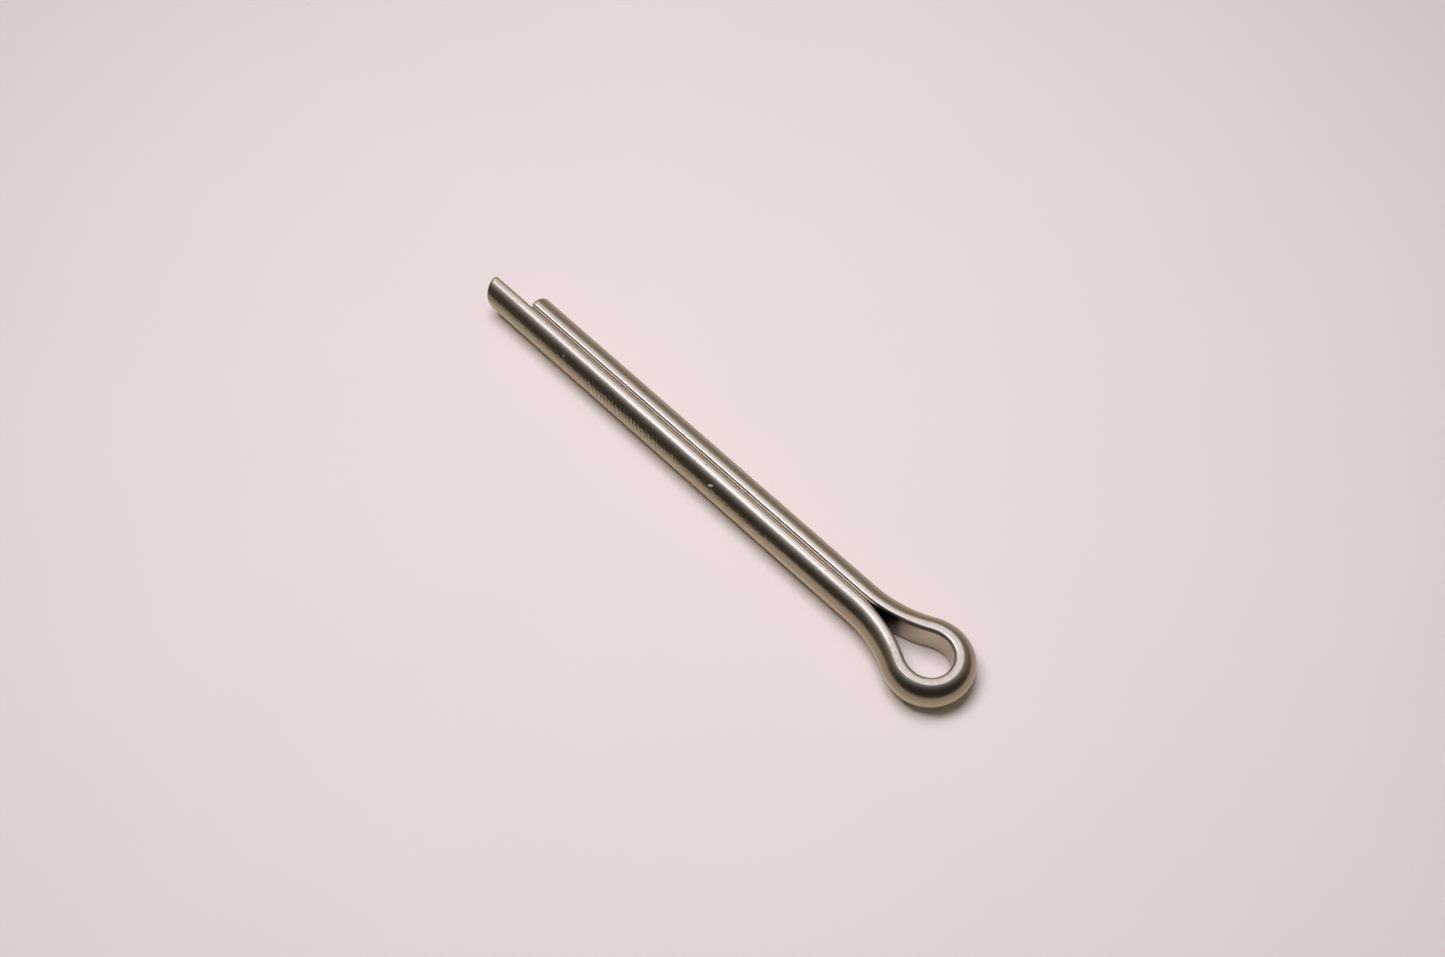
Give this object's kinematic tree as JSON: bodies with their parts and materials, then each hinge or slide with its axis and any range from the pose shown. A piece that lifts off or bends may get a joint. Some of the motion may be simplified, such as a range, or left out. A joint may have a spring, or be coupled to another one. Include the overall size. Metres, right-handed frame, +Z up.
{
  "type": "cotter pin",
  "caption": "Split cotter pin of half-round wire folded round an open eye, with one leg longer than the other; it locks nuts and cross-drilled pins.",
  "frame": {"origin": "on the surface that the pin lies on, under the middle of its bounding box", "axes": "+X along the shank from the tips to the eye; +Y across the two legs, with the long leg on -Y; +Z up, square to the plane of the eye"},
  "size_m": [0.0496, 0.0068, 0.003],
  "materials": {
    "wire": "bright drawn"
  },
  "bodies": {
    "root": {"cotter_pin": "wire"}
  },
  "joints": []
}
